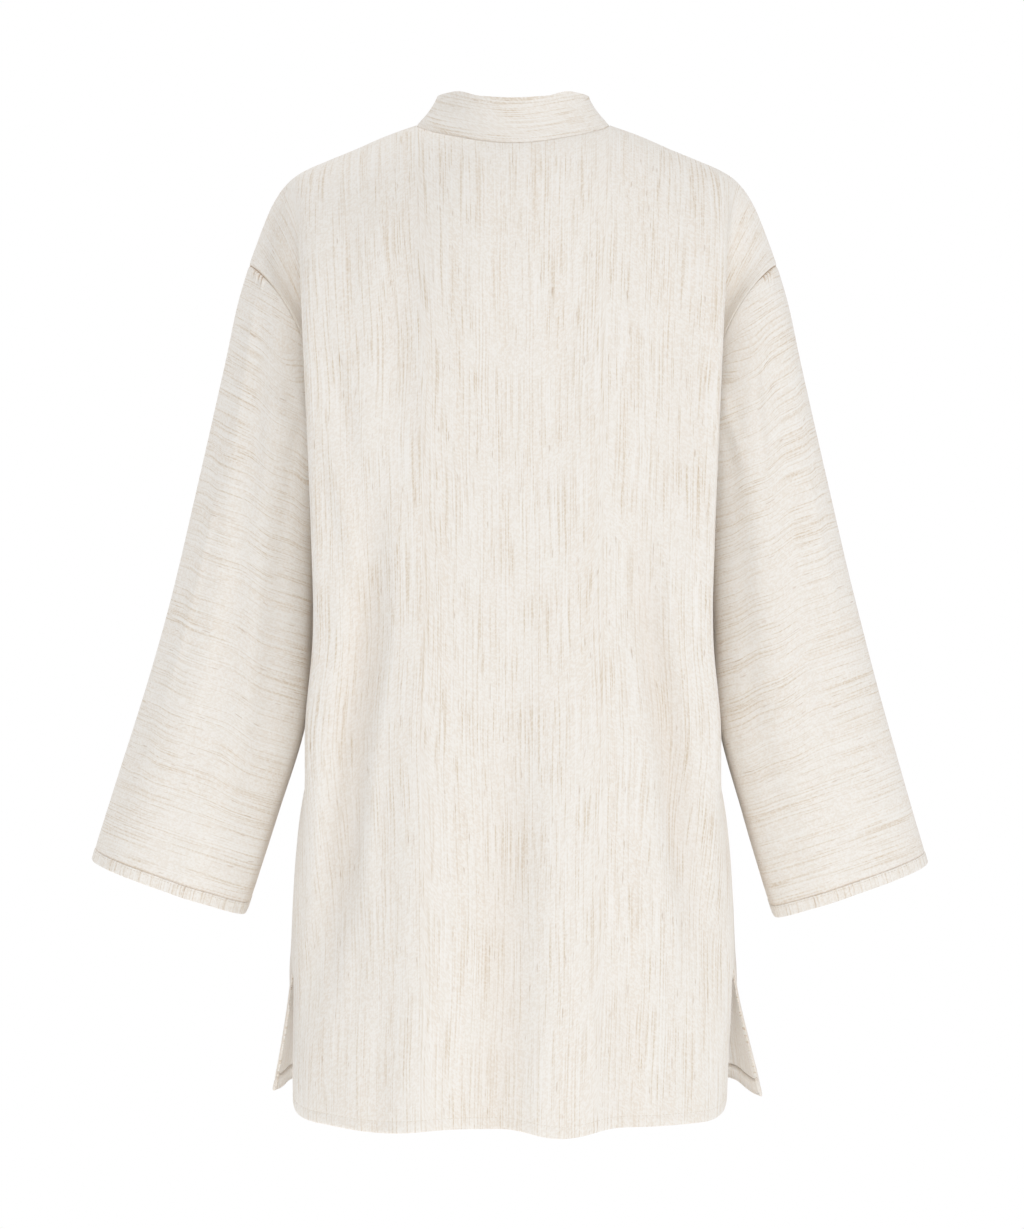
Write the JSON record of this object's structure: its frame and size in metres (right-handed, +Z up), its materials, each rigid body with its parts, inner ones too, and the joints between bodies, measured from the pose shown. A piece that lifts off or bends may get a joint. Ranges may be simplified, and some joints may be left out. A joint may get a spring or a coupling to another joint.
{
  "type": "tunic",
  "caption": "Loose, straight-cut slub linen tunic hanging as worn, with a stand collar, dropped shoulders, wide bound sleeves and open side slits.",
  "frame": {"origin": "middle of the neck at the height of the inner ends of the shoulder seams, where the wearer's shoulders carry the garment", "axes": "+X towards the wearer's left, -Y towards the wearer's front, +Z up"},
  "size_m": [0.7016, 0.2667, 0.8536],
  "materials": {
    "linen": "matte off-white slub weave with thin broken brown streaks",
    "linen_facing": "matte off-white slub weave"
  },
  "bodies": {
    "root": {"back": "linen", "front": "linen", "collar": "linen", "sleeve_left": "linen", "sleeve_right": "linen", "cuff_binding_left": "linen", "cuff_binding_right": "linen", "slit_facing_left": "linen_facing", "slit_facing_right": "linen_facing"}
  },
  "joints": []
}
